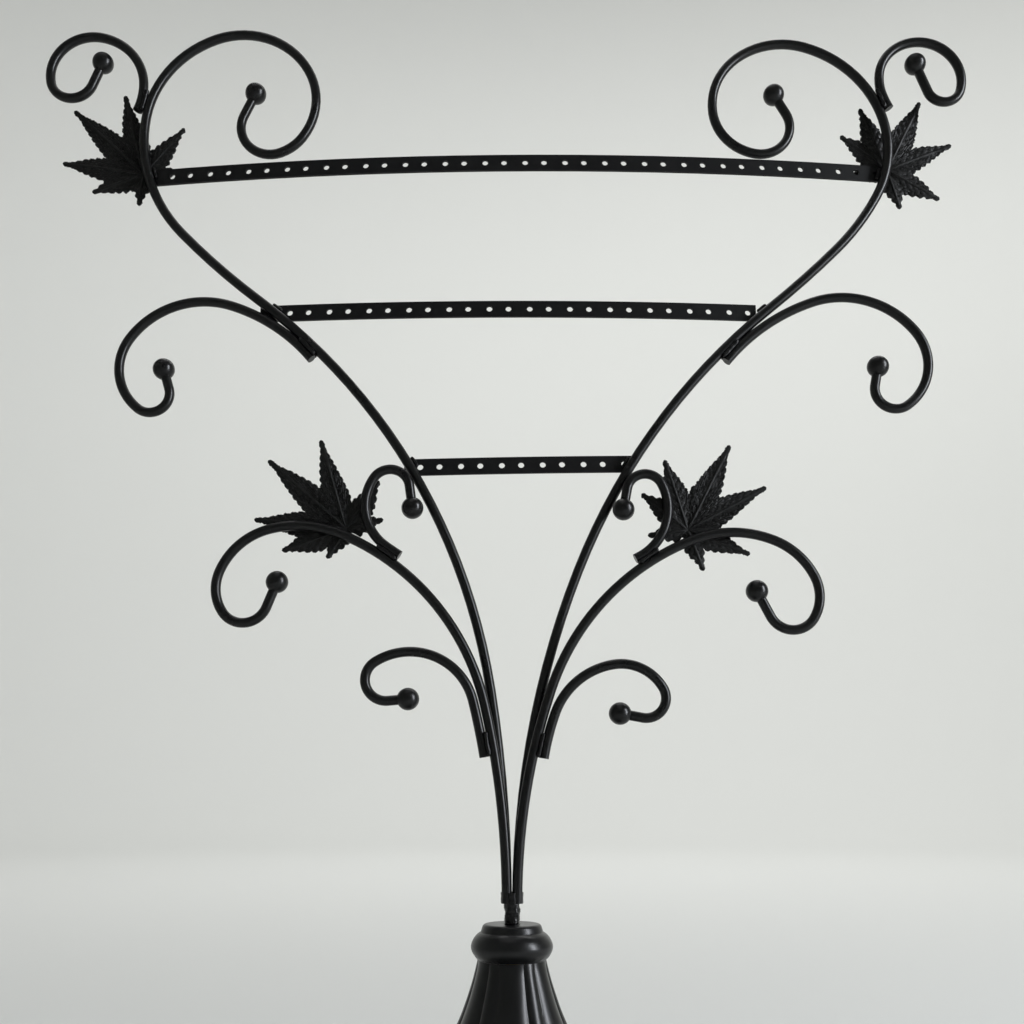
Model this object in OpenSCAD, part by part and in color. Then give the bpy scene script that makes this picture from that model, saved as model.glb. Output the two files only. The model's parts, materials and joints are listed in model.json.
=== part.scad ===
// Jewellery tree: a bent-wire tree with scrolled hooks, three pierced bars and four cast leaves,
// screwed into a fluted bell base. Millimetres, +Z up, the origin under the middle of the base,
// the front towards -Y. The whole tree turns in the base on its threaded stud.

/* [Tree] */
// Height of the wire tree, from the foot of the stems to the top of the scrolls
tree_h = 373; // [310:1:450]
// Diameter of the wire
wire_d = 4; // [3.2:0.1:4.8]
// Diameter of the balls on the wire ends
ball_d = 9; // [7.5:0.1:11]

/* [Bars] */
// Height of a bar's face
bar_h = 7; // [5.8:0.1:8.5]
// Thickness of the bars
bar_t = 1.2; // [1:0.1:1.6]
// Radius that the bars are bowed to, towards the front
bow_r = 1200; // [960:10:1440]
// Diameter of the holes
hole_d = 2.5; // [2:0.1:3]
// Average spacing of the holes along a bar
hole_pitch = 8.5; // [7:0.1:10.2]

/* [Leaves] */
// Thickness of a leaf
leaf_t = 1.2; // [0.8:0.1:1.6]
// Width of one lobe of a leaf at its widest
lobe_w = 11; // [9:0.1:13.2]

/* [Base] */
// Height of the base, from the table to the lip of the collar
base_h = 120; // [100:1:150]
// Diameter of the foot
foot_d = 144; // [136:1:175]
// Diameter where the bell meets its collar
neck_d = 26.6; // [24:0.1:32]
// Largest diameter of the collar's round ring
ring_d = 32; // [29:0.1:38.4]
// Diameter of the stud that carries the tree
stud_d = 5.9; // [4.9:0.1:7.1]
// Length of the stud that shows above the collar
stud_show = 7.9; // [6:0.1:10]
// Wall of the bell
bell_wall = 3.5; // [2.5:0.1:4.5]
// Thickness of the felt under the foot
pad_t = 2; // [1:0.1:3]

/* [Fits] */
// Gap across a welded joint, which the bead fills
weld_gap = 0.05; // [0.04:0.01:0.1]
// Clearance all round a wire in its ball
ball_gap = 0.05; // [0.03:0.01:0.1]
// Clearance all round the stud and the tie rod
stud_gap = 0.05; // [0.02:0.01:0.1]
// Clearance round pieces that drop into the base
seat_gap = 0.2; // [0.1:0.05:0.5]

/* [Hidden] */

black = [0.09, 0.09, 0.09];
iron = [0.3, 0.29, 0.28];
steel = [0.65, 0.66, 0.68];
brass = [0.75, 0.62, 0.32];
felt = [0.12, 0.13, 0.12];

// The bends below are drawn for a tree this tall, and grow with tree_h
drawn_h = 373;
grow = tree_h / drawn_h;

// A wire is [pose, bends, y]. A pose is [x, z, heading], with the heading in degrees from +X
// towards +Z. A bend is [radius, degrees], anticlockwise seen from the front, and
// [length, 0] is straight. Each wire ends in the middle of its ball.
stem_z = base_h + stud_show + weld_gap;
pair_x = (wire_d + weld_gap) / 2;
front_y = -(wire_d + weld_gap);
joint_gap = 0.03;
sleeve_l = 0.3;
sleeve_over = 0.04;

function grown(bends) = [for (b = bends) [b[0] * grow, b[1]]];
function bend_length(b) = b[1] == 0 ? b[0] : b[0] * abs(b[1]) * PI / 180;
function straight_on(p, l) = [p[0] + l * cos(p[2]), p[1] + l * sin(p[2]), p[2]];
function beside(p, left, toe) = [p[0] - left * sin(p[2]), p[1] + left * cos(p[2]), p[2] + toe];
function turned(p, r, a) = let (c = beside(p, sign(a) * r, 0))
    [c[0] + sign(a) * r * sin(p[2] + a), c[1] - sign(a) * r * cos(p[2] + a), p[2] + a];
function after(p, b) = b[1] == 0 ? straight_on(p, b[0]) : turned(p, b[0], b[1]);
function pose_at(p, bends, i) = i == 0 ? p : after(pose_at(p, bends, i - 1), bends[i - 1]);
function part_bend(b, s) = b[1] == 0 ? [s, 0] : [b[0], sign(b[1]) * s / b[0] * 180 / PI];
function along(p, bends, s, i = 0) = s <= bend_length(bends[i])
    ? after(p, part_bend(bends[i], s))
    : along(after(p, bends[i]), bends, s - bend_length(bends[i]), i + 1);
function wire_end(w) = pose_at(w[0], w[1], len(w[1]));
function point_on(w, s) = along(w[0], w[1], s * grow);

// How far along a rising wire it reaches the height z, by halving
function reach(w, z, low, high, n = 24) = let (mid = (low + high) / 2)
    n == 0 ? mid : point_on(w, mid)[1] < z ? reach(w, z, mid, high, n - 1) : reach(w, z, low, mid, n - 1);

// A hook starts beside its parent wire: s is how far along, side is 1 for the left of the
// heading, toe turns its tail, and lift is the extra room that the turned tail needs.
function hook(w, s, side, toe, lift, bends) = [
    beside(point_on(w, s), side * (wire_d + weld_gap + lift * grow), toe), grown(bends), w[2], side];

main_left = [[-pair_x, stem_z, 90],
    grown([[530, 9], [260, 43.5], [310, -8.5], [66, -52], [46, -61], [33, -88], [30, -58], [20, -34],
        [13, -135], [11.5, 0]]), 0];
main_right = [[pair_x, stem_z, 90],
    grown([[360, -21.5], [280, -29], [410, 5.5], [110, 16], [49, 102], [33, 55], [29, 58], [22, 74],
        [13, 129], [10, 0]]), 0];
front_left = [[-pair_x, stem_z, 90],
    grown([[340, 13], [100, 54], [46, 37], [29, 55], [18, 55], [10, 125], [11, 0]]), front_y];
front_right = [[pair_x, stem_z, 90],
    grown([[260, -18.5], [100, -50], [44, -44], [30, -42], [18, -57], [10, -122], [11.5, 0]]), front_y];

// How far along their parents the hooks start
top_s = 388;
outer_s = 246;
inner_s = 147;
low_s = 57;
top_left = hook(main_left, top_s, 1, -12, 0.45, [[30, 26], [24, 77], [18, 112], [9.5, 146], [11.5, 0]]);
top_right = hook(main_right, top_s, -1, 8, 0.25, [[44, -8], [23, -28], [18, -189], [7.5, -142], [14, 0]]);
outer_left = hook(main_left, outer_s, 1, -4, 0.36,
    [[2, 0], [75, 31], [37, 74], [23, 86], [8, 145], [9, 0]]);
outer_right = hook(main_right, outer_s, -1, 4, 0.38,
    [[2, 0], [84, -30], [38, -73], [23, -91], [8.5, -137], [8.5, 0]]);
inner_left = hook(front_left, inner_s, -1, 4, 0.2, [[135, -3], [21, -87], [8, -139], [9.5, 0]]);
inner_right = hook(front_right, inner_s, 1, -8, 0.35, [[110, 1], [23, 88], [7.5, 143], [9, 0]]);
low_left = hook(front_left, low_s, 1, 0, 0.05, [[290, 4.5], [26, 108], [8.5, 153], [8, 0]]);
low_right = hook(front_right, low_s, -1, 3, 0.3, [[105, -10], [30, -61], [19, -70], [8, -130], [9, 0]]);

// A bar is [height above the stems' foot, tilt, place of its first hole, how far its left end
// and its right end reach past the stems]. The bar and its holes go where the stems go.
top_row = [307, 0.4, -147.4, 0.5, 1.6];
middle_row = [244, 0.1, -94.5, 5.8, -4];
bottom_row = [176.8, 1, -38.2, 2, 0.5];
hole_edge = 2.5;
pair_shift = 0.5;
rise_end = 386;

function bar_z(row) = stem_z + row[0] * grow;
function stem_x(w, row) = point_on(w, reach(w, bar_z(row), 0, rise_end))[0];
function left_end(row) = stem_x(main_left, row) - row[3];
function right_end(row) = stem_x(main_right, row) + row[4];
function bow_y(x) = bow_r - sqrt(bow_r * bow_r - x * x);
function weld_x(row) = min(-stem_x(main_left, row), stem_x(main_right, row));
// Front face of a bar's middle, so that the bar just clears the stems where it crosses them
function bar_y(row) = (wire_d / 2) / cos(asin(weld_x(row) / bow_r)) + weld_gap - bow_y(weld_x(row));
function hole_at(row, i) = row[2] * grow + i * hole_pitch - (i % 2) * pair_shift;
function hole_count(row) = floor((right_end(row) - hole_edge - row[2] * grow) / hole_pitch) + 1;

// Lobes of the leaves, each [direction, length]
top_left_lobes = [[5, 16], [53, 27.5], [105.5, 39.5], [136.5, 45], [171, 36.5], [201, 23.5], [263.5, 14.5]];
top_right_lobes = [[285.5, 18.5], [329, 26], [23, 31.5], [63.5, 37], [109, 31.5], [139.5, 25.5], [187, 17]];
low_left_lobes = [[14, 15.5], [57, 24], [107, 39.5], [138.5, 44], [174, 38], [199.5, 27.5], [239, 14.5]];
low_right_lobes = [[289.5, 18], [338, 27], [29, 37.5], [63, 40.5], [106.5, 31], [140.5, 24], [188.5, 16.5]];
hub_d = 9;
hub_up = 2.5;
low_leaf_s = 171;
low_leaf_y = front_y + wire_d / 2 + weld_gap;

// Weld beads
weld_share = 0.25;
weld_l = 8;
weld_clear = 4 * weld_gap;
foot_weld_d = 2.1 * wire_d;
foot_weld_h = 4;
bar_weld_l = 3.5;

// Levels of the base, from the table up
plinth_h = 22;
bead_d = 10;
bead_z = plinth_h + bead_d;
ballast_top = 14;
seam_z = base_h - 13.5;
insert_l = 40;
insert_d = 10;
insert_deep = 5.5;
insert_top = seam_z + insert_deep;
foot_r = foot_d / 2;
flare_r1 = foot_r - bead_d;
flare_start = 12.5;
flare_dr = flare_r1 - neck_d / 2;
flare_dz = seam_z - bead_z;
flare_r = (flare_dr * flare_dr + flare_dz * flare_dz)
    / (2 * (flare_dr * cos(flare_start) - flare_dz * sin(flare_start)));
flare_c = [neck_d / 2 + flare_r * cos(flare_start), seam_z + flare_r * sin(flare_start)];
flare_end = asin((flare_c[1] - bead_z) / flare_r);
stud_hole = stud_d + 2 * stud_gap;
stud_end = insert_top - insert_l / 2 + 1;
rod_top = insert_top - insert_l / 2 - 1;

// Collar
lip_d = 24;
lip_r = 1.5;
ring_t = 11;
ring_z = seam_z + ring_t / 2 + seat_gap;

// Flutes, foot and ballast
flutes = 6;
rib_angle = 20;
groove_r = 0.95;
groove_out = 0.1;
plate_t = 8;
edge_r = 4;
ledge_w = 7;
ballast_r = foot_r - 6 - seat_gap;
nut_well = 8;
washer_d = 18;
washer_t = 1.6;
nut_t = 5;
rod_inset = 1.4;

// One bend of a wire, from the origin along +X, drawn just short at both ends
module bent(r, a) {
    g = joint_gap / r * 180 / PI;
    translate([0, sign(a) * r, 0])
        mirror([0, a > 0 ? 0 : 1, 0])
            rotate([0, 0, g - 90])
                rotate_extrude(angle = abs(a) - 2 * g, $fn = 96)
                    translate([r, 0])
                        circle(d = wire_d, $fn = 32);
}

module straight(l) {
    rotate([0, 90, 0])
        translate([0, 0, joint_gap])
            cylinder(d = wire_d, h = l - 2 * joint_gap, $fn = 32);
}

// Joins one bend to the next
module sleeve() {
    rotate([0, 90, 0])
        translate([0, 0, -sleeve_l / 2])
            cylinder(d = wire_d + sleeve_over, h = sleeve_l, $fn = 32);
}

module wire(w) {
    color(black)
        translate([0, w[2], 0])
            rotate([90, 0, 0])
                for (i = [0 : len(w[1]) - 1])
                    let (p = pose_at(w[0], w[1], i), b = w[1][i])
                        translate([p[0], p[1], 0])
                            rotate([0, 0, p[2]]) {
                                if (i > 0) sleeve();
                                if (b[1] == 0) straight(b[0]);
                                else bent(b[0], b[1]);
                            }
}

module ball(w) {
    e = wire_end(w);
    color(black)
        translate([e[0], w[2], e[1]])
            difference() {
                sphere(d = ball_d, $fn = 64);
                rotate([0, -90 - e[2], 0])
                    translate([0, 0, -ball_gap])
                        cylinder(d = wire_d + 2 * ball_gap, h = ball_d, $fn = 32);
            }
}

// Strip bowed to the front, pierced along its middle
module bar(row) {
    a0 = asin(left_end(row) / bow_r);
    a1 = asin(right_end(row) / bow_r);
    color(black)
        translate([0, bar_y(row) + bow_r, bar_z(row)])
            rotate([0, -row[1], 0])
                difference() {
                    rotate([0, 0, a0 - 90])
                        rotate_extrude(angle = a1 - a0, $fn = 96)
                            translate([bow_r - bar_t, -bar_h / 2])
                                square([bar_t, bar_h]);
                    for (i = [0 : hole_count(row) - 1])
                        rotate([0, 0, hole_at(row, i) / bow_r * 180 / PI])
                            translate([0, 2 * bar_t - bow_r, 0])
                                rotate([90, 0, 0])
                                    cylinder(d = hole_d, h = 3 * bar_t, $fn = 32);
                }
}

module lobe(l) {
    w = lobe_w / 2;
    polygon([[0, 0], [0.3 * l, -0.6 * w], [0.45 * l, -w], [0.62 * l, -0.95 * w], [0.8 * l, -0.66 * w],
        [0.94 * l, -0.33 * w], [l, 0], [0.94 * l, 0.33 * w], [0.8 * l, 0.66 * w], [0.62 * l, 0.95 * w],
        [0.45 * l, w], [0.3 * l, 0.6 * w]]);
}

// Flat cast leaf with its hub at [x, z] and its front face at y
module leaf(x, z, y, lobes) {
    color(black)
        translate([x, y + leaf_t, z])
            rotate([90, 0, 0])
                linear_extrude(height = leaf_t) {
                    circle(d = hub_d, $fn = 32);
                    for (b = lobes) rotate(b[0]) lobe(b[1]);
                }
}

// Rod with round ends, lying along +X
module bead(l, d) {
    rotate([0, 90, 0])
        translate([0, 0, -l / 2]) {
            cylinder(d = d, h = l, $fn = 24);
            sphere(d = d, $fn = 24);
            translate([0, 0, l]) sphere(d = d, $fn = 24);
        }
}

// Two beads in the grooves between a hook's tail and its parent
module hook_weld(h) {
    d = weld_share * wire_d;
    deep = sqrt(pow((wire_d + d) / 2 + weld_clear, 2) - pair_x * pair_x);
    m = beside(along(h[0], h[1], weld_l / 2 + 1), -h[3] * pair_x, 0);
    for (s = [-1, 1])
        translate([m[0], h[2] + s * deep, m[1]])
            rotate([0, -m[2], 0])
                bead(weld_l, d);
}

module main_stem_left() { wire(main_left); }
module main_stem_right() { wire(main_right); }
module branch_left() { wire(front_left); }
module branch_right() { wire(front_right); }
module top_hook_left() { wire(top_left); }
module top_hook_right() { wire(top_right); }
module outer_hook_left() { wire(outer_left); }
module outer_hook_right() { wire(outer_right); }
module inner_hook_left() { wire(inner_left); }
module inner_hook_right() { wire(inner_right); }
module low_hook_left() { wire(low_left); }
module low_hook_right() { wire(low_right); }
module main_ball_left() { ball(main_left); }
module main_ball_right() { ball(main_right); }
module branch_ball_left() { ball(front_left); }
module branch_ball_right() { ball(front_right); }
module top_ball_left() { ball(top_left); }
module top_ball_right() { ball(top_right); }
module outer_ball_left() { ball(outer_left); }
module outer_ball_right() { ball(outer_right); }
module inner_ball_left() { ball(inner_left); }
module inner_ball_right() { ball(inner_right); }
module low_ball_left() { ball(low_left); }
module low_ball_right() { ball(low_right); }
module top_bar() { bar(top_row); }
module middle_bar() { bar(middle_row); }
module bottom_bar() { bar(bottom_row); }

// The top leaves lie behind the ends of the top bar, their hubs a little above its middle
function behind_bar(x) = bar_y(top_row) + bow_y(x) + bar_t + 4 * weld_gap;
function on_bar(x) = [x, bar_z(top_row) + x * sin(top_row[1])];
module top_leaf_left() {
    p = on_bar(left_end(top_row));
    leaf(p[0] - 2.8, p[1] + hub_up, behind_bar(p[0]), top_left_lobes);
}
module top_leaf_right() {
    p = on_bar(right_end(top_row));
    leaf(p[0] + 0.5, p[1] + hub_up, behind_bar(p[0]), top_right_lobes);
}

// The low leaves lie between the branches and the plane of the main stems
module low_leaf_left() {
    p = point_on(front_left, low_leaf_s);
    leaf(p[0] + 1, p[1] + 3, low_leaf_y, low_left_lobes);
}
module low_leaf_right() {
    p = point_on(front_right, low_leaf_s);
    leaf(p[0] - 1.7, p[1] + 4.6, low_leaf_y, low_right_lobes);
}

module hook_welds() {
    color(black)
        for (h = [top_left, top_right, outer_left, outer_right, inner_left, inner_right, low_left, low_right])
            hook_weld(h);
}

// A bead in the inner corner between each bar's face and each stem
module bar_weld(w, side, row) {
    d = weld_share * wire_d;
    p = beside(point_on(w, reach(w, bar_z(row), 0, rise_end)), side * ((wire_d + d) / 2 + weld_clear), 0);
    translate([p[0], bar_y(row) + bow_y(p[0]) - d / 2 - weld_clear, p[1]])
        rotate([0, -p[2], 0])
            bead(bar_weld_l, d);
}
module bar_welds() {
    color(black)
        for (row = [top_row, middle_row, bottom_row]) {
            bar_weld(main_left, -1, row);
            bar_weld(main_right, 1, row);
        }
}

// Weld metal round the four wires where they stand on the stud
module foot_weld() {
    color(black)
        difference() {
            translate([0, front_y / 2, stem_z])
                cylinder(d = foot_weld_d, h = foot_weld_h, $fn = 64);
            for (x = [-pair_x, pair_x], y = [0, front_y])
                translate([x, y, stem_z - 1])
                    cylinder(d = wire_d + 4 * weld_gap, h = foot_weld_h + 2, $fn = 32);
        }
}

module stem_stud() {
    color(steel)
        translate([0, 0, stud_end])
            cylinder(d = stud_d, h = stem_z - weld_gap - stud_end, $fn = 48);
}

// Turned collar: a neck with a rounded lip and a round ring about it
module collar() {
    color(black)
        rotate_extrude($fn = 96)
            difference() {
                union() {
                    translate([0, seam_z])
                        square([lip_d / 2, base_h - lip_r - seam_z]);
                    translate([0, seam_z])
                        square([lip_d / 2 - lip_r, base_h - seam_z]);
                    translate([lip_d / 2 - lip_r, base_h - lip_r])
                        circle(r = lip_r, $fn = 32);
                    translate([(ring_d - ring_t) / 2, ring_z])
                        circle(d = ring_t, $fn = 48);
                }
                translate([0, seam_z - 1])
                    square([stud_hole / 2, base_h]);
                translate([0, seam_z - 1])
                    square([insert_d / 2 + stud_gap, insert_deep + 1]);
            }
}

// One rounded groove down the flare, at an angle from the front
module flute_groove(a) {
    rotate([0, 0, a - 90])
        translate([flare_c[0], 0, flare_c[1]])
            rotate([90, 0, 0])
                rotate([0, 0, 180 + flare_start - 1])
                    rotate_extrude(angle = flare_end - flare_start + 2, $fn = 180)
                        translate([flare_r - groove_out, 0])
                            circle(r = groove_r, $fn = 24);
}

// Thin flared casting with six wide flutes and six narrow ribs, marked off by grooves
module bell() {
    color(black)
        difference() {
            rotate_extrude($fn = 180) {
                intersection() {
                    translate([0, bead_z])
                        square([flare_r1, seam_z - bead_z]);
                    translate(flare_c)
                        difference() {
                            circle(r = flare_r + bell_wall, $fn = 360);
                            circle(r = flare_r, $fn = 360);
                        }
                }
                translate([insert_d / 2 + stud_gap, seam_z - plate_t])
                    square([neck_d / 2 - 1 - insert_d / 2 - stud_gap, plate_t]);
            }
            for (k = [0 : flutes - 1], s = [-1, 1])
                flute_groove((k + 0.5) * 360 / flutes + s * rib_angle / 2);
        }
}

// Foot ring: a rounded plinth with a half-round bead above it, hollow for the ballast
module foot() {
    color(black)
        rotate_extrude($fn = 180)
            difference() {
                union() {
                    translate([0, pad_t])
                        square([foot_r, plinth_h - pad_t - edge_r]);
                    translate([0, pad_t])
                        square([foot_r - edge_r, plinth_h - pad_t]);
                    translate([foot_r - edge_r, plinth_h - edge_r])
                        circle(r = edge_r, $fn = 48);
                    translate([0, plinth_h])
                        square([flare_r1, bead_d]);
                    translate([flare_r1, plinth_h + bead_d / 2])
                        circle(d = bead_d, $fn = 48);
                }
                translate([0, pad_t - 1])
                    square([ballast_r + seat_gap, ballast_top - pad_t + 1]);
                square([flare_r1 - ledge_w, bead_z + 1]);
            }
}

module threaded_insert() {
    color(brass)
        translate([0, 0, insert_top - insert_l])
            difference() {
                cylinder(d = insert_d, h = insert_l, $fn = 48);
                translate([0, 0, -1])
                    cylinder(d = stud_hole, h = insert_l + 2, $fn = 48);
            }
}

module tie_rod() {
    color(steel)
        translate([0, 0, pad_t + rod_inset])
            cylinder(d = stud_d, h = rod_top - pad_t - rod_inset, $fn = 48);
}

module ballast() {
    color(iron)
        difference() {
            translate([0, 0, pad_t])
                cylinder(r = ballast_r, h = ballast_top - pad_t, $fn = 96);
            translate([0, 0, pad_t - 1])
                cylinder(d = washer_d + 4, h = nut_well + 1, $fn = 64);
            translate([0, 0, pad_t])
                cylinder(d = stud_d + 1, h = ballast_top, $fn = 48);
        }
}

module washer() {
    color(steel)
        translate([0, 0, pad_t + nut_well - washer_t])
            difference() {
                cylinder(d = washer_d, h = washer_t, $fn = 48);
                translate([0, 0, -1])
                    cylinder(d = stud_d + 0.5, h = washer_t + 2, $fn = 48);
            }
}

module nut() {
    color(steel)
        translate([0, 0, pad_t + nut_well - washer_t - nut_t])
            difference() {
                cylinder(d = 1.95 * stud_d, h = nut_t, $fn = 6);
                translate([0, 0, -1])
                    cylinder(d = stud_hole, h = nut_t + 2, $fn = 48);
            }
}

module felt_pad() {
    color(felt)
        cylinder(d = foot_d - 6, h = pad_t, $fn = 96);
}

main_stem_left();
main_stem_right();
branch_left();
branch_right();
top_hook_left();
top_hook_right();
outer_hook_left();
outer_hook_right();
inner_hook_left();
inner_hook_right();
low_hook_left();
low_hook_right();
main_ball_left();
main_ball_right();
branch_ball_left();
branch_ball_right();
top_ball_left();
top_ball_right();
outer_ball_left();
outer_ball_right();
inner_ball_left();
inner_ball_right();
low_ball_left();
low_ball_right();
top_bar();
middle_bar();
bottom_bar();
top_leaf_left();
top_leaf_right();
low_leaf_left();
low_leaf_right();
hook_welds();
bar_welds();
foot_weld();
stem_stud();
collar();
bell();
foot();
threaded_insert();
tie_rod();
ballast();
washer();
nut();
felt_pad();
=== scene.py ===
# Bent-wire jewellery tree: enamelled scrolls, pierced bars and cast leaves on a fluted bell base.
import json
import math

import bpy
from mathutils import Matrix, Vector, noise


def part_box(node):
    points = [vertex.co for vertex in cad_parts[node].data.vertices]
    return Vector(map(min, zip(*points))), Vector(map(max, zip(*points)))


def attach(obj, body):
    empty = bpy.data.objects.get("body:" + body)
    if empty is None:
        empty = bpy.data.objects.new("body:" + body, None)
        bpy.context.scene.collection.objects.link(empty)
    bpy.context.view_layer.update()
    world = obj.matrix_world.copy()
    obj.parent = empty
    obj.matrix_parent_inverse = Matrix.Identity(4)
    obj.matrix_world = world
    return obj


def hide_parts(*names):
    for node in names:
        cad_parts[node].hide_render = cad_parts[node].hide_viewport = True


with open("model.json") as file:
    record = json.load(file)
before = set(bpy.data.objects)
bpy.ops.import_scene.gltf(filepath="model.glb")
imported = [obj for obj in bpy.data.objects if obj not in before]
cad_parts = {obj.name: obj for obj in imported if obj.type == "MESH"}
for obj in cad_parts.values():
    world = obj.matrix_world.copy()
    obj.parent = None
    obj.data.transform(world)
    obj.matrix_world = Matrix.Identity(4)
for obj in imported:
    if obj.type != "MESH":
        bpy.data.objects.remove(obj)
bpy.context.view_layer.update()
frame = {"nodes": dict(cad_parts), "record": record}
nodes = frame["nodes"]
print("frame loaded:", len(nodes), "nodes")

mm = 0.001


def hexToLinear(code):
    channels = [int(code[i:i + 2], 16) / 255 for i in (1, 3, 5)]
    return [c / 12.92 if c <= 0.04045 else ((c + 0.055) / 1.055) ** 2.4 for c in channels] + [1.0]


def addNode(tree, kind, settings=None, links=None):
    node = tree.nodes.new(kind)
    for name, value in (settings or {}).items():
        if isinstance(name, int) or name in node.inputs:
            node.inputs[name].default_value = value
        else:
            setattr(node, name, value)
    for name, source in (links or {}).items():
        tree.links.new(source, node.inputs[name])
    return node


def perMetre(sizeMm):
    return 1000 / sizeMm


def startMaterial(name):
    material = bpy.data.materials.new(name)
    material.use_nodes = True
    tree = material.node_tree
    tree.nodes.clear()
    place = addNode(tree, "ShaderNodeTexCoord").outputs["Object"]
    return material, tree, place


def finishMaterial(tree, shader):
    addNode(tree, "ShaderNodeOutputMaterial", links={"Surface": shader.outputs["BSDF"]})


# One recipe for every black finish: thin enamel that lies in slow waves and fine orange peel,
# a little lighter and a little duller from place to place. The depths are in millimetres.
enamelDepth = {"wave": 0.25, "grain": 0.08}


def enamel(name, look):
    material, tree, place = startMaterial(name)
    patches = addNode(tree, "ShaderNodeTexNoise", {"Scale": perMetre(look["patchMm"]), "Detail": 3.0},
                      {"Vector": place})
    mixed = addNode(tree, "ShaderNodeMix", {"data_type": "RGBA", 6: hexToLinear(look["dark"]),
                                            7: hexToLinear(look["light"])}, {0: patches.outputs["Fac"]})
    sheen = addNode(tree, "ShaderNodeMapRange", {"From Min": 0.3, "From Max": 0.7,
                                                 "To Min": look["roughness"][0],
                                                 "To Max": look["roughness"][1]},
                    {"Value": patches.outputs["Fac"]})
    waves = addNode(tree, "ShaderNodeTexNoise", {"Scale": perMetre(look["waveMm"]), "Detail": 2.0},
                    {"Vector": place})
    grain = addNode(tree, "ShaderNodeTexNoise", {"Scale": perMetre(look["grainMm"]), "Detail": 4.0},
                    {"Vector": place})
    wavy = addNode(tree, "ShaderNodeBump",
                   {"Strength": look["wave"], "Distance": enamelDepth["wave"] * mm},
                   {"Height": waves.outputs["Fac"]})
    rough = addNode(tree, "ShaderNodeBump",
                    {"Strength": look["grain"], "Distance": enamelDepth["grain"] * mm},
                    {"Height": grain.outputs["Fac"], "Normal": wavy.outputs["Normal"]})
    shader = addNode(tree, "ShaderNodeBsdfPrincipled",
                     {"IOR": 1.5, "Specular IOR Level": look["specular"], "Coat Weight": look["coat"],
                      "Coat Roughness": look["coatRoughness"]},
                     {"Base Color": mixed.outputs[2], "Roughness": sheen.outputs["Result"],
                      "Normal": rough.outputs["Normal"]})
    finishMaterial(tree, shader)
    return material


def metal(name, look):
    material, tree, place = startMaterial(name)
    grain = addNode(tree, "ShaderNodeTexNoise", {"Scale": perMetre(look["grainMm"]), "Detail": 5.0},
                    {"Vector": place})
    mixed = addNode(tree, "ShaderNodeMix", {"data_type": "RGBA", 6: hexToLinear(look["dark"]),
                                            7: hexToLinear(look["light"])}, {0: grain.outputs["Fac"]})
    rough = addNode(tree, "ShaderNodeBump", {"Strength": look["grain"], "Distance": 0.1 * mm},
                    {"Height": grain.outputs["Fac"]})
    shader = addNode(tree, "ShaderNodeBsdfPrincipled",
                     {"Metallic": look["metallic"], "Roughness": look["roughness"]},
                     {"Base Color": mixed.outputs[2], "Normal": rough.outputs["Normal"]})
    finishMaterial(tree, shader)
    return material


def pressedFelt(name, look):
    material, tree, place = startMaterial(name)
    fibres = addNode(tree, "ShaderNodeTexNoise",
                     {"Scale": perMetre(look["fibreMm"]), "Detail": 6.0, "Distortion": 2.0},
                     {"Vector": place})
    mixed = addNode(tree, "ShaderNodeMix", {"data_type": "RGBA", 6: hexToLinear(look["dark"]),
                                            7: hexToLinear(look["light"])}, {0: fibres.outputs["Fac"]})
    fuzz = addNode(tree, "ShaderNodeBump", {"Strength": look["fuzz"], "Distance": 0.3 * mm},
                   {"Height": fibres.outputs["Fac"]})
    shader = addNode(tree, "ShaderNodeBsdfPrincipled",
                     {"Roughness": look["roughness"], "Sheen Weight": look["sheen"],
                      "Sheen Roughness": 0.6},
                     {"Base Color": mixed.outputs[2], "Normal": fuzz.outputs["Normal"]})
    finishMaterial(tree, shader)
    return material


# Sprayed and stoved enamel on drawn wire: near black, with a narrow bright line down the lit side
wireEnamel = enamel("stoved satin enamel on wire", {
    "dark": "#040405", "light": "#0a0a0b", "patchMm": 18, "roughness": (0.26, 0.36), "specular": 0.3,
    "waveMm": 7, "wave": 0.35, "grainMm": 0.7, "grain": 0.2, "coat": 0.12, "coatRoughness": 0.2})
# The same enamel on strip, which was rolled and punched and has dried flatter
barEnamel = enamel("matt enamel on rolled strip", {
    "dark": "#08080a", "light": "#101011", "patchMm": 12, "roughness": (0.48, 0.6), "specular": 0.22,
    "waveMm": 9, "wave": 0.4, "grainMm": 0.6, "grain": 0.5, "coat": 0.0, "coatRoughness": 0.4})
# Thin enamel over a sand-cast leaf: the grain of the sand shows through
leafEnamel = enamel("matt enamel on cast leaf", {
    "dark": "#090909", "light": "#131312", "patchMm": 8, "roughness": (0.4, 0.55), "specular": 0.3,
    "waveMm": 3, "wave": 0.5, "grainMm": 0.5, "grain": 0.9, "coat": 0.0, "coatRoughness": 0.4})
# Thicker enamel on the cast and turned base, with broad soft reflections
baseEnamel = enamel("satin enamel on casting", {
    "dark": "#040405", "light": "#08090b", "patchMm": 25, "roughness": (0.28, 0.36), "specular": 0.3,
    "waveMm": 10, "wave": 0.35, "grainMm": 0.9, "grain": 0.25, "coat": 0.2, "coatRoughness": 0.25})
turnedBrass = metal("turned brass", {"dark": "#a8843f", "light": "#d0ab63", "grainMm": 0.6,
                                     "grain": 0.15, "metallic": 1.0, "roughness": 0.28})
zincPlate = metal("bright zinc plate", {"dark": "#9a9da3", "light": "#c3c6ca", "grainMm": 0.8,
                                        "grain": 0.2, "metallic": 1.0, "roughness": 0.33})
greyIron = metal("grey cast iron", {"dark": "#2d2b29", "light": "#4a4744", "grainMm": 1.2,
                                    "grain": 0.9, "metallic": 0.7, "roughness": 0.62})
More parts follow.
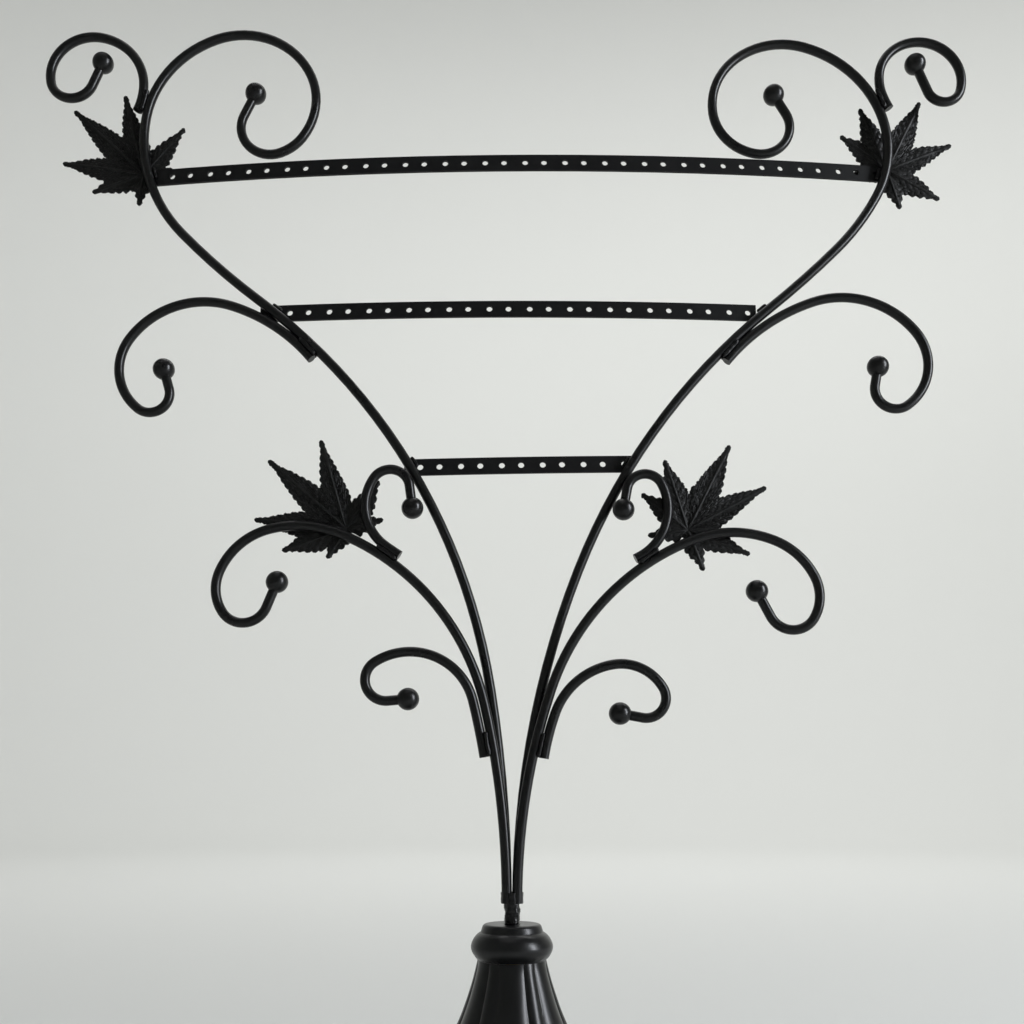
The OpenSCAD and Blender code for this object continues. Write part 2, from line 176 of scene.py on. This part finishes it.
# Wool pressed into sheet: fibres a third of a millimetre apart, drawn at half a millimetre to show
woolFelt = pressedFelt("pressed wool felt", {"dark": "#141514", "light": "#2b2d2b", "fibreMm": 0.5,
                                             "fuzz": 0.8, "roughness": 0.95, "sheen": 0.4})
slotMaterials = {"wire_enamel": wireEnamel, "bar_enamel": barEnamel, "leaf_casting": leafEnamel,
                 "base_enamel": baseEnamel, "insert_brass": turnedBrass, "bright_steel": zincPlate,
                 "ballast_iron": greyIron, "felt": woolFelt}
for part in frame["record"]["subparts"]:
    mesh = nodes[part["node"]].data
    mesh.materials.clear()
    mesh.materials.append(slotMaterials[part["material_slot"]])
print("materials made:", len(slotMaterials))


# Small helpers for modelling by hand
def deselectAll():
    if bpy.context.object and bpy.context.object.mode != "OBJECT":
        bpy.ops.object.mode_set(mode="OBJECT")
    bpy.ops.object.select_all(action="DESELECT")


def pick(piece):
    deselectAll()
    piece.select_set(True)
    bpy.context.view_layer.objects.active = piece


def applyAll(piece):
    pick(piece)
    for modifier in list(piece.modifiers):
        bpy.ops.object.modifier_apply(modifier=modifier.name)


def settle(piece, name, material, body, smoothAngle=40):
    pick(piece)
    bpy.ops.object.transform_apply(location=True, rotation=True, scale=True)
    piece.name = name
    piece.data.name = name
    piece.data.materials.clear()
    piece.data.materials.append(material)
    bpy.ops.object.shade_smooth_by_angle(angle=math.radians(smoothAngle))
    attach(piece, body)


def facesOutward(piece):
    pick(piece)
    bpy.ops.object.mode_set(mode="EDIT")
    bpy.ops.mesh.select_all(action="SELECT")
    bpy.ops.mesh.remove_doubles(threshold=0.005 * mm)
    bpy.ops.mesh.normals_make_consistent(inside=False)
    bpy.ops.object.mode_set(mode="OBJECT")


def pushOut(vertex, byMm):
    # away from the upright axis, or towards it where byMm is below nought
    flat = math.hypot(vertex.co.x, vertex.co.y)
    scale = (flat + byMm * mm) / flat
    vertex.co.x *= scale
    vertex.co.y *= scale


# Cast leaf. A grid is wrapped round the hub, its far edge laid along the toothed outline.
leafLook = {"rings": 40, "ringEven": 0.9, "setBack": 0.3, "thickness": 0.8,
            "lobeWidth": 10.6, "widthShare": 0.19, "widthBase": 1.2, "taper": 1.3, "belly": 1.1,
            "notchShare": 0.42, "openNotch": 0.55, "widestGap": 46, "rootShare": 0.16,
            "tipWidth": 1.5, "tipFrom": 0.985, "tipRound": 0.55,
            "toothPitch": 2.9, "toothDepth": 1.4, "toothLean": 1.6, "toothFade": 0.7,
            "toothStart": 12, "fewestTeeth": 4, "pointsPerTooth": 5,
            "pillow": 0.55, "pillowLeast": 0.6, "pillowSpread": 0.34, "pillowStart": 0.5,
            "pillowRise": 6, "veinDepth": 0.5, "veinWidth": 0.45, "veinRise": 3, "veinFade": 0.4,
            "sidePitch": 3.4, "sideSlope": 1.1, "sideDepth": 0.4, "sideWidth": 0.14,
            "sideInner": 0.8, "sideRise": 8, "ripple": 0.35, "rippleMm": 9, "rippleSeed": 50,
            "curl": 1.3, "curlMm": 40}
# Each lobe is its angle from the right, in degrees, and its length in millimetres
leaves = {
    "top_leaf_left": [(5, 16), (53, 27.5), (105.5, 39.5), (136.5, 45), (171, 36.5), (201, 23.5),
                      (263.5, 14.5)],
    "top_leaf_right": [(-74.5, 18.5), (-31, 26), (23, 31.5), (63.5, 37), (109, 31.5), (139.5, 25.5),
                       (187, 17)],
    "low_leaf_left": [(14, 15.5), (57, 24), (107, 39.5), (138.5, 44), (174, 38), (199.5, 27.5),
                      (239, 14.5)],
    "low_leaf_right": [(-70.5, 18), (-22, 27), (29, 37.5), (63, 40.5), (106.5, 31), (140.5, 24),
                       (188.5, 16.5)],
}


def hubOf(name, lobes):
    low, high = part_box(name)
    tips = [(math.cos(math.radians(a)) * l, math.sin(math.radians(a)) * l) for a, l in lobes]
    right = max(tips)[0]
    top = max(t[1] for t in tips)
    return Vector((high[0] - right * mm, (low[1] + high[1]) / 2, high[2] - top * mm))


def lobeEdge(length, gap, side, look):
    # from the notch out to the tip, as (along, across) in millimetres
    halfGap = math.radians(min(gap, look["widestGap"]) / 2)
    reach = length * look["notchShare"] * (1.0 if gap < look["widestGap"] else look["openNotch"])
    notch = (reach * math.cos(halfGap), reach * math.sin(halfGap))
    widest = min(look["lobeWidth"] / 2, look["widthShare"] * length + look["widthBase"])
    run = length - notch[0]
    teeth = max(look["fewestTeeth"], round(run / look["toothPitch"]))
    steps = teeth * look["pointsPerTooth"]
    points = []
    for i in range(steps + 1):
        t = i / steps
        body = widest * (1 - t) ** look["taper"] * (1 + look["belly"] * t)
        body = max(body, look["tipWidth"] / 2 * (1 if t < look["tipFrom"] else look["tipRound"]))
        root = notch[1]
        blend = min(1, t / look["rootShare"])
        if root < body:
            across = root + (body - root) * blend * (2 - blend)
        else:
            across = root + (body - root) * blend
        phase = (i % look["pointsPerTooth"]) / look["pointsPerTooth"]
        tooth = look["toothDepth"] * (math.sin(math.pi * phase ** look["toothLean"]) - 0.5)
        tooth = tooth * (1 - look["toothFade"] * t) * min(1, t * look["toothStart"])
        points.append((notch[0] + run * t, across + tooth))
    return [(u, v * side) for u, v in points]


def leafOutline(lobes, look):
    outline = []
    for i, (angle, length) in enumerate(lobes):
        before = (angle - lobes[i - 1][0]) % 360
        after = (lobes[(i + 1) % len(lobes)][0] - angle) % 360
        a = math.radians(angle)
        edge = lobeEdge(length, before, -1, look) + lobeEdge(length, after, 1, look)[::-1]
        outline += [(u, v, math.cos(a) * u - math.sin(a) * v, math.sin(a) * u + math.cos(a) * v,
                     length) for u, v in edge]
    return outline


def makeLeaf(name, lobes):
    look = leafLook
    outline = leafOutline(lobes, look)
    count = len(outline)
    rings = look["rings"]
    hub = hubOf(name, lobes)
    deselectAll()
    bpy.ops.mesh.primitive_grid_add(x_subdivisions=count, y_subdivisions=rings, size=1)
    leaf = bpy.context.object
    columns = count + 1
    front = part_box(name)[0][1]
    for vertex in leaf.data.vertices:
        column, ring = vertex.index % columns, vertex.index // columns
        u, v, x, z, length = outline[column % count]
        t = (ring / rings) ** look["ringEven"]
        out = u * t
        across = abs(v) * t
        wide = max(look["pillowLeast"], min(look["lobeWidth"] / 2,
                                            look["pillowSpread"] * out + look["pillowStart"]))
        pillow = look["pillow"] * max(0, 1 - (across / wide) ** 2) * min(1, out / look["pillowRise"])
        ridge = look["veinDepth"] * max(0, 1 - across / look["veinWidth"])
        ridge = ridge * min(1, out / look["veinRise"]) * max(0, 1 - out / length) ** look["veinFade"]
        side = ((out - across * look["sideSlope"]) / look["sidePitch"]) % 1
        dent = look["sideDepth"] * max(0, 1 - abs(side - 0.5) / look["sideWidth"])
        dent = dent * min(1, across / look["sideInner"]) * min(1, out / look["sideRise"])
        spot = Vector((x * t / look["rippleMm"], z * t / look["rippleMm"], hub.x * look["rippleSeed"]))
        ripple = look["ripple"] * noise.noise(spot)
        back = look["curl"] * (out / look["curlMm"]) ** 2
        y = -pillow - ridge + dent + ripple + back
        vertex.co = (hub.x + x * t * mm, front + (y + look["setBack"]) * mm, hub.z + z * t * mm)
    facesOutward(leaf)
    shell = leaf.modifiers.new("thickness", "SOLIDIFY")
    shell.thickness = look["thickness"] * mm
    shell.offset = 0
    applyAll(leaf)
    facesOutward(leaf)
    settle(leaf, name.replace("_leaf", "_cast_leaf"), leafEnamel, "tree", 50)
    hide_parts(name)
    return leaf


for leafName, leafLobes in leaves.items():
    made = makeLeaf(leafName, leafLobes)
    print("leaf made:", made.name, len(made.data.polygons), "faces")


# Fluted bell: a ring extruded down the flare, then pushed into six wide flutes and six narrow ribs
bellLook = {"startAngle": 12.5, "neckRadius": 13.3, "wall": 3.2, "levels": 56, "around": 432,
            "flutes": 6, "ribAngle": 20, "wideDeep": (0.5, 2.6), "ribDeep": (0.45, 2.2),
            "fluteSharp": 2.2, "runOut": 2.5, "endShare": 0.35, "lump": 0.12, "lumpMm": 9}


def bellRadius(t, low, high, look):
    # the flare is one arc; t runs from the neck to the foot
    dr = high[0] / mm - look["neckRadius"]
    dz = (high[2] - low[2]) / mm
    start = math.radians(look["startAngle"])
    r = (dr * dr + dz * dz) / (2 * (dr * math.cos(start) - dz * math.sin(start)))
    end = math.asin(math.sin(start) + dz / r)
    angle = start + (end - start) * t
    return (look["neckRadius"] + r * (math.cos(start) - math.cos(angle)),
            high[2] / mm - r * (math.sin(angle) - math.sin(start)))


def fluteDent(degrees, t, look):
    # how far the surface falls below the flare, in millimetres; 0 degrees is the front
    pitch = 360 / look["flutes"]
    across = (degrees + pitch / 2) % pitch - pitch / 2
    wideHalf = (pitch - look["ribAngle"]) / 2
    if abs(across) <= wideHalf:
        share = abs(across) / wideHalf
        deep = look["wideDeep"]
    else:
        share = abs(pitch / 2 - abs(across)) / (look["ribAngle"] / 2)
        deep = look["ribDeep"]
    return (deep[0] + (deep[1] - deep[0]) * t) * share ** look["fluteSharp"]


def makeBell():
    look = bellLook
    low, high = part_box("bell")
    radius, z = bellRadius(0, low, high, look)
    deselectAll()
    bpy.ops.mesh.primitive_circle_add(vertices=look["around"], radius=radius * mm,
                                      location=(0, 0, z * mm), fill_type="NOTHING")
    bell = bpy.context.object
    bpy.ops.object.transform_apply(location=True)
    bpy.ops.object.mode_set(mode="EDIT")
    bpy.ops.mesh.select_all(action="SELECT")
    for i in range(1, look["levels"] + 1):
        nextRadius, nextZ = bellRadius(i / look["levels"], low, high, look)
        bpy.ops.mesh.extrude_region_move(TRANSFORM_OT_translate={"value": (0, 0, (nextZ - z) * mm)})
        grow = nextRadius / radius
        bpy.ops.transform.resize(value=(grow, grow, 1), center_override=(0, 0, 0))
        radius, z = nextRadius, nextZ
    bpy.ops.object.mode_set(mode="OBJECT")
    drop = high[2] - low[2]
    for vertex in bell.data.vertices:
        t = (high[2] - vertex.co.z) / drop
        degrees = math.degrees(math.atan2(vertex.co.x, -vertex.co.y))
        fade = min(1, t * drop / mm / look["runOut"]) * min(1, (1 - t) * drop / mm / look["runOut"])
        dent = fluteDent(degrees, t, look)
        dent = dent * (look["endShare"] + (1 - look["endShare"]) * fade)
        lump = look["lump"] * noise.noise(vertex.co * perMetre(look["lumpMm"]))
        pushOut(vertex, -(dent + lump))
    facesOutward(bell)
    shell = bell.modifiers.new("wall", "SOLIDIFY")
    shell.thickness = look["wall"] * mm
    shell.offset = -1
    applyAll(bell)
    settle(bell, "fluted_bell", baseEnamel, "base", 60)
    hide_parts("bell")
    return bell


bellPiece = makeBell()
print("bell made:", len(bellPiece.data.polygons), "faces")


# Turned collar: a profile spun round the axis. Each point is its radius and its height over the seam.
collarLook = {"steps": 128, "wave": 0.1, "waveMm": 8, "blister": 0.4, "blisterMm": 1.7,
              "blisterUp": 2.4, "outerFrom": 12, "profile": [
    (3.05, 6.0), (3.05, 13.0), (3.3, 13.35), (9.7, 13.5), (10.5, 13.45), (11.1, 13.15), (11.5, 12.6),
    (11.75, 11.8), (11.95, 11.1), (12.05, 10.7), (12.2, 10.45), (12.8, 10.15), (13.8, 9.4), (14.8, 8.2),
    (15.5, 6.9), (15.95, 5.5), (15.9, 4.2), (15.45, 2.9), (14.7, 1.7), (13.95, 0.8), (13.5, 0.4),
    (13.4, 0.0), (5.1, 0.0), (5.1, 5.5)]}


def makeCollar():
    look = collarLook
    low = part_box("collar")[0]
    deselectAll()
    bpy.ops.mesh.primitive_circle_add(vertices=len(look["profile"]), radius=1 * mm,
                                      fill_type="NOTHING")
    collar = bpy.context.object
    for vertex, (radius, up) in zip(collar.data.vertices, look["profile"]):
        vertex.co = (radius * mm, 0, low[2] + up * mm)
    bpy.ops.object.mode_set(mode="EDIT")
    bpy.ops.mesh.select_all(action="SELECT")
    bpy.ops.mesh.subdivide(number_cuts=1, smoothness=0)
    bpy.ops.mesh.spin(steps=look["steps"], angle=math.tau, center=(0, 0, 0), axis=(0, 0, 1))
    bpy.ops.object.mode_set(mode="OBJECT")
    facesOutward(collar)
    soft = collar.modifiers.new("soft edges", "SUBSURF")
    soft.levels = soft.render_levels = 1
    applyAll(collar)
    # paint has dried in small runs and blisters along the seam
    for vertex in collar.data.vertices:
        up = (vertex.co.z - low[2]) / mm
        if math.hypot(vertex.co.x, vertex.co.y) > look["outerFrom"] * mm:
            near = max(0, 1 - up / look["blisterUp"])
            spots = noise.noise(vertex.co * perMetre(look["blisterMm"]))
            blister = look["blister"] * near * max(0, spots)
            wave = look["wave"] * noise.noise(vertex.co * perMetre(look["waveMm"]))
            pushOut(vertex, wave + blister)
    settle(collar, "turned_collar", baseEnamel, "base", 60)
    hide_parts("collar")
    return collar


collarPiece = makeCollar()
print("collar made:", len(collarPiece.data.polygons), "faces")


# Weld metal: the CAD beads, swollen until they bite into the wires and roughened under the paint
weldLook = {"voxel": 0.22, "swell": {"hook_welds": 0.35, "bar_welds": 0.3, "foot_weld": 0.2},
            "lump": 0.3, "lumpMm": 1.9, "softness": 0.5, "softPasses": 2}


def makeWeld(node):
    look = weldLook
    pick(nodes[node])
    bpy.ops.object.duplicate()
    weld = bpy.context.object
    bpy.ops.object.mode_set(mode="EDIT")
    bpy.ops.mesh.select_all(action="SELECT")
    bpy.ops.mesh.remove_doubles(threshold=0.01 * mm)
    bpy.ops.mesh.normals_make_consistent(inside=False)
    bpy.ops.transform.shrink_fatten(value=look["swell"][node] * mm)
    bpy.ops.object.mode_set(mode="OBJECT")
    clay = weld.modifiers.new("clay", "REMESH")
    clay.mode = "VOXEL"
    clay.voxel_size = look["voxel"] * mm
    applyAll(weld)
    for vertex in weld.data.vertices:
        lump = look["lump"] * noise.noise(vertex.co * perMetre(look["lumpMm"]))
        vertex.co += vertex.normal * lump * mm
    smooth = weld.modifiers.new("smooth", "SMOOTH")
    smooth.factor = look["softness"]
    smooth.iterations = look["softPasses"]
    applyAll(weld)
    facesOutward(weld)
    settle(weld, node.replace("_weld", "_fillet"), wireEnamel, "tree", 80)
    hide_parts(node)
    return weld


for weldNode in ("hook_welds", "bar_welds", "foot_weld"):
    made = makeWeld(weldNode)
    print("weld made:", made.name, len(made.data.polygons), "faces")


# Stud: a threaded length clogged with weld spatter and paint above the collar
studLook = {"around": 48, "pitch": 1.0, "threadDeep": 0.35, "rowsPerMm": 6, "clogged": 0.6,
            "clogMm": 1.5, "coat": 0.3, "lump": 0.5, "lumpMm": 2.2}


def makeStud():
    look = studLook
    low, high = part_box("stem_stud")
    radius = (high[0] - low[0]) / 2
    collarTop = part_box("collar")[1][2]
    depth = high[2] - low[2]
    rows = round(depth / mm * look["rowsPerMm"])
    deselectAll()
    bpy.ops.mesh.primitive_cylinder_add(vertices=look["around"], radius=radius, depth=depth,
                                        location=(0, 0, (low[2] + high[2]) / 2))
    stud = bpy.context.object
    bpy.ops.object.transform_apply(location=True)
    bpy.ops.object.mode_set(mode="EDIT")
    bpy.ops.mesh.select_mode(type="EDGE")
    bpy.ops.mesh.select_all(action="DESELECT")
    bpy.ops.object.mode_set(mode="OBJECT")
    for edge in stud.data.edges:
        a, b = (stud.data.vertices[i].co for i in edge.vertices)
        edge.select = abs(a.z - b.z) > depth / 2
    bpy.ops.object.mode_set(mode="EDIT")
    bpy.ops.mesh.subdivide(number_cuts=rows)
    bpy.ops.mesh.select_mode(type="VERT")
    bpy.ops.object.mode_set(mode="OBJECT")
    for vertex in stud.data.vertices:
        turn = math.atan2(vertex.co.y, vertex.co.x) / math.tau
        thread = abs(((vertex.co.z / mm / look["pitch"] - turn) % 1) - 0.5) * 2
        above = max(0, min(1, (vertex.co.z - collarTop) / mm / look["clogMm"]))
        deep = look["threadDeep"] * (1 - look["clogged"] * above) * thread
        spots = noise.noise(vertex.co * perMetre(look["lumpMm"]))
        lump = above * look["lump"] * (look["coat"] + spots)
        if math.hypot(vertex.co.x, vertex.co.y) > radius / 2:
            pushOut(vertex, lump - deep)
    settle(stud, "painted_stud", wireEnamel, "tree", 60)
    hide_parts("stem_stud")
    return stud


studPiece = makeStud()
print("stud made:", len(studPiece.data.polygons), "faces")


# Studio: a pale floor that curves up all round into a pale wall, open above
studioLook = {"floorRadius": 3.2, "coveRadius": 1.6, "coveSteps": 12, "wallTop": 9.0, "around": 96,
              "tone": "#e6e7e4", "rollerMm": 4, "sky": "#f2f4f6", "skyStrength": 0.14}


def paleWall():
    material, tree, place = startMaterial("matt studio paint")
    roller = addNode(tree, "ShaderNodeTexNoise",
                     {"Scale": perMetre(studioLook["rollerMm"]), "Detail": 2.0}, {"Vector": place})
    bump = addNode(tree, "ShaderNodeBump", {"Strength": 0.05, "Distance": 0.2 * mm},
                   {"Height": roller.outputs["Fac"]})
    shader = addNode(tree, "ShaderNodeBsdfPrincipled",
                     {"Base Color": hexToLinear(studioLook["tone"]), "Roughness": 0.9},
                     {"Normal": bump.outputs["Normal"]})
    finishMaterial(tree, shader)
    return material


def makeStudio():
    look = studioLook
    deselectAll()
    bpy.ops.mesh.primitive_circle_add(vertices=look["around"], radius=look["floorRadius"],
                                      fill_type="NGON")
    floor = bpy.context.object
    bpy.ops.object.mode_set(mode="EDIT")
    bpy.ops.mesh.select_all(action="SELECT")
    radius, z = look["floorRadius"], 0
    coveSteps = look["coveSteps"]
    for i in range(1, coveSteps + 2):
        angle = math.radians(90 * min(i, coveSteps) / coveSteps)
        nextRadius = look["floorRadius"] + look["coveRadius"] * math.sin(angle)
        nextZ = look["coveRadius"] * (1 - math.cos(angle)) if i <= coveSteps else look["wallTop"]
        bpy.ops.mesh.extrude_region_move(TRANSFORM_OT_translate={"value": (0, 0, nextZ - z)})
        bpy.ops.transform.resize(value=(nextRadius / radius, nextRadius / radius, 1),
                                 center_override=(0, 0, 0))
        radius, z = nextRadius, nextZ
    bpy.ops.mesh.delete(type="ONLY_FACE")
    bpy.ops.object.mode_set(mode="OBJECT")
    floor.name = "studio_floor"
    floor.data.materials.append(paleWall())
    bpy.ops.object.shade_smooth_by_angle(angle=math.radians(60))
    world = bpy.data.worlds.new("studio sky")
    bpy.context.scene.world = world
    world.use_nodes = True
    background = world.node_tree.nodes["Background"]
    background.inputs["Color"].default_value = hexToLinear(look["sky"])
    background.inputs["Strength"].default_value = look["skyStrength"]


lamps = {
    "window": {"at": (1.5, -0.7, 0.7), "aim": (0, 0, 0.3), "size": (0.3, 1.2), "power": 26,
               "tint": "#f4f8ff"},
    "ceiling": {"at": (-0.2, -0.4, 2.4), "aim": (0, 0, 0.3), "size": (1.4, 1.4), "power": 3,
                "tint": "#ffffff"},
    "backWash": {"at": (0.6, 1.2, 3.2), "aim": (0.2, 4.6, 1.2), "size": (3.0, 1.5), "power": 98,
                 "tint": "#ffffff"},
}


def makeLamp(name, spec):
    data = bpy.data.lights.new(name, "AREA")
    data.shape = "RECTANGLE"
    data.size, data.size_y = spec["size"]
    data.energy = spec["power"]
    data.color = hexToLinear(spec["tint"])[:3]
    lamp = bpy.data.objects.new(name, data)
    bpy.context.collection.objects.link(lamp)
    lamp.location = spec["at"]
    toAim = Vector(spec["aim"]) - Vector(spec["at"])
    lamp.rotation_euler = toAim.to_track_quat("-Z", "Y").to_euler()


makeStudio()
for lampName, lampSpec in lamps.items():
    makeLamp(lampName, lampSpec)
print("studio made")

# Camera: 440 mm in front of the stems and 49 mm above the collar, tilted up
cameraLook = {"distance": 440 * mm, "overCollar": 49.4 * mm, "tilt": 8.8, "lens": 38.67,
              "shift": 0.11, "sensor": 36, "near": 0.01, "far": 50}
cameraData = bpy.data.cameras.new("camera")
cameraData.sensor_width = cameraLook["sensor"]
cameraData.lens = cameraLook["lens"]
cameraData.shift_y = cameraLook["shift"]
cameraData.clip_start = cameraLook["near"]
cameraData.clip_end = cameraLook["far"]
camera = bpy.data.objects.new("camera", cameraData)
bpy.context.collection.objects.link(camera)
camera.location = (0, -cameraLook["distance"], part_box("collar")[1][2] + cameraLook["overCollar"])
camera.rotation_euler = (math.radians(90 + cameraLook["tilt"]), 0, 0)
bpy.context.scene.camera = camera
bpy.context.scene.view_settings.view_transform = "Standard"
deselectAll()
